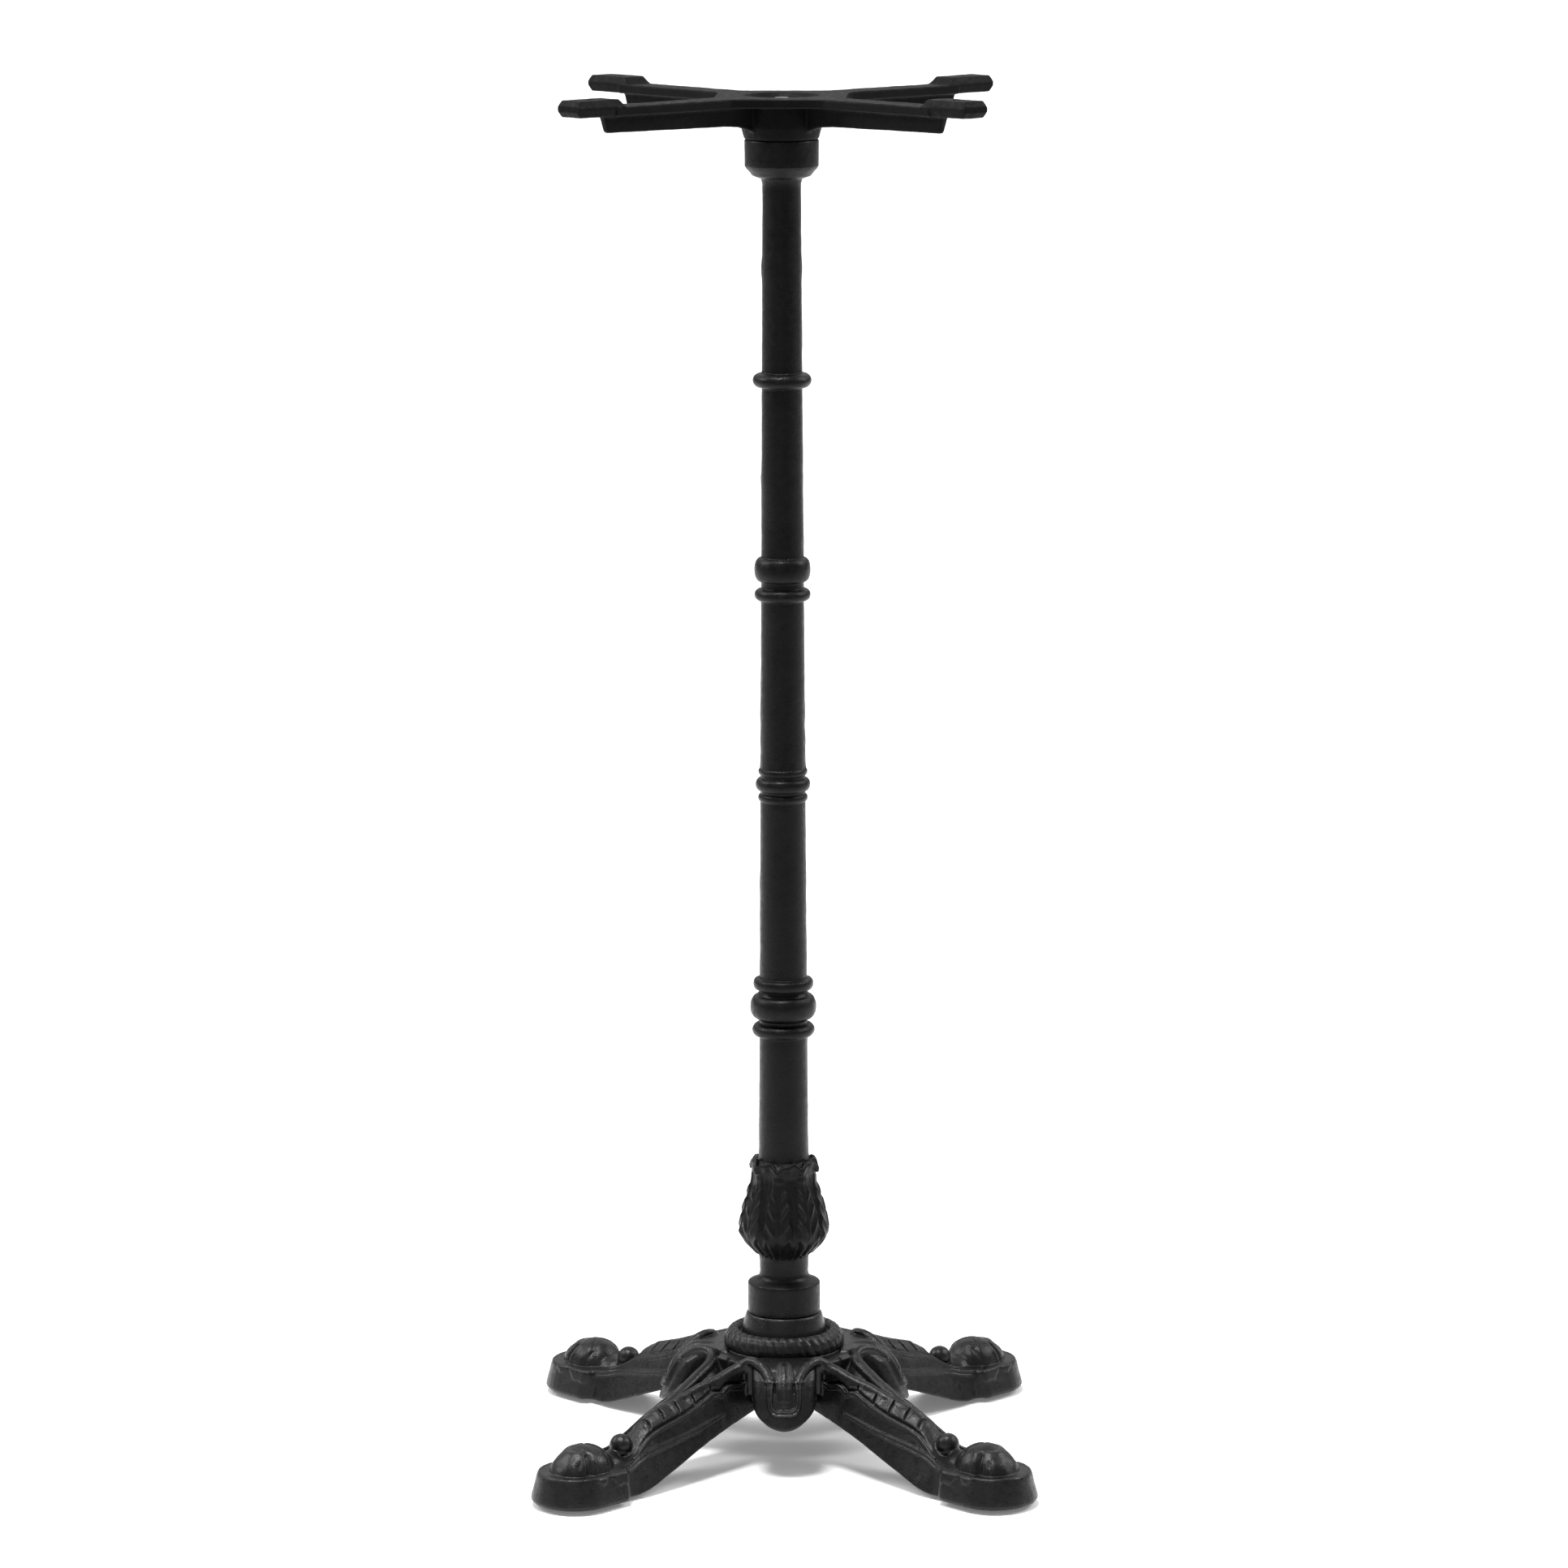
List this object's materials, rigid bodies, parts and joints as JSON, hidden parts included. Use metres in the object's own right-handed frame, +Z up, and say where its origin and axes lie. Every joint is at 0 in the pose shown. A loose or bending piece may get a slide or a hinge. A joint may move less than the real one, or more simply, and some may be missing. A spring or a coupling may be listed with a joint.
{
  "type": "pedestal table base",
  "caption": "Bar-height cast-iron pedestal table base: claw-footed cross base, slim beaded column with a leaf bulb, and an armed top spider clamped by a hidden tie rod.",
  "frame": {"origin": "on the floor under the axis of the column, at the centre of the footprint", "axes": "+Z up along the column; -Y is the front; the four legs point along the diagonals of X and Y"},
  "size_m": [0.3884, 0.3884, 1.07],
  "materials": {
    "painted_iron": "satin black paint over as-cast iron",
    "plated_steel": "zinc plated",
    "plated_rod": "zinc plated, threaded",
    "spring_steel": "dull spring steel",
    "black_plastic": "moulded, matt"
  },
  "bodies": {
    "base": {"base_casting": "painted_iron", "column_casting": "painted_iron", "tie_rod": "plated_rod", "top_washer": "plated_steel", "top_spring_washer": "spring_steel", "top_nut": "plated_steel", "bottom_washer": "plated_steel", "bottom_spring_washer": "spring_steel", "bottom_nut": "plated_steel", "lock_nut_fl": "plated_steel", "lock_nut_fr": "plated_steel", "lock_nut_bl": "plated_steel", "lock_nut_br": "plated_steel"},
    "spider": {"spider_casting": "painted_iron"},
    "glide_pad_fl": {"glide_pad_fl": "black_plastic"},
    "glide_stem_fl": {"glide_stem_fl": "plated_rod"},
    "glide_pad_fr": {"glide_pad_fr": "black_plastic"},
    "glide_stem_fr": {"glide_stem_fr": "plated_rod"},
    "glide_pad_bl": {"glide_pad_bl": "black_plastic"},
    "glide_stem_bl": {"glide_stem_bl": "plated_rod"},
    "glide_pad_br": {"glide_pad_br": "black_plastic"},
    "glide_stem_br": {"glide_stem_br": "plated_rod"}
  },
  "joints": [
    {"name": "spider_turn", "type": "hinge", "parent": "base", "child": "spider", "pos_m": [0, 0, 1.0303], "axis": [0, 0, 1], "continuous": true},
    {"name": "glide_height_fl", "type": "slide", "parent": "base", "child": "glide_pad_fl", "axis": [0, 0, -1], "range_m": [-0.002, 0.012]},
    {"name": "glide_screw_fl", "type": "hinge", "parent": "glide_pad_fl", "child": "glide_stem_fl", "pos_m": [-0.15981, -0.15981, 0.02], "axis": [0, 0, -1], "range_deg": [-576, 3456]},
    {"name": "glide_height_fr", "type": "slide", "parent": "base", "child": "glide_pad_fr", "axis": [0, 0, -1], "range_m": [-0.002, 0.012]},
    {"name": "glide_screw_fr", "type": "hinge", "parent": "glide_pad_fr", "child": "glide_stem_fr", "pos_m": [0.15981, -0.15981, 0.02], "axis": [0, 0, -1], "range_deg": [-576, 3456]},
    {"name": "glide_height_bl", "type": "slide", "parent": "base", "child": "glide_pad_bl", "axis": [0, 0, -1], "range_m": [-0.002, 0.012]},
    {"name": "glide_screw_bl", "type": "hinge", "parent": "glide_pad_bl", "child": "glide_stem_bl", "pos_m": [-0.15981, 0.15981, 0.02], "axis": [0, 0, -1], "range_deg": [-576, 3456]},
    {"name": "glide_height_br", "type": "slide", "parent": "base", "child": "glide_pad_br", "axis": [0, 0, -1], "range_m": [-0.002, 0.012]},
    {"name": "glide_screw_br", "type": "hinge", "parent": "glide_pad_br", "child": "glide_stem_br", "pos_m": [0.15981, 0.15981, 0.02], "axis": [0, 0, -1], "range_deg": [-576, 3456]}
  ],
  "couplings": [
    {"joint": "glide_screw_fl", "follows": "glide_height_fl", "rad_per_m": 5026.5},
    {"joint": "glide_screw_fr", "follows": "glide_height_fr", "rad_per_m": 5026.5},
    {"joint": "glide_screw_bl", "follows": "glide_height_bl", "rad_per_m": 5026.5},
    {"joint": "glide_screw_br", "follows": "glide_height_br", "rad_per_m": 5026.5}
  ]
}
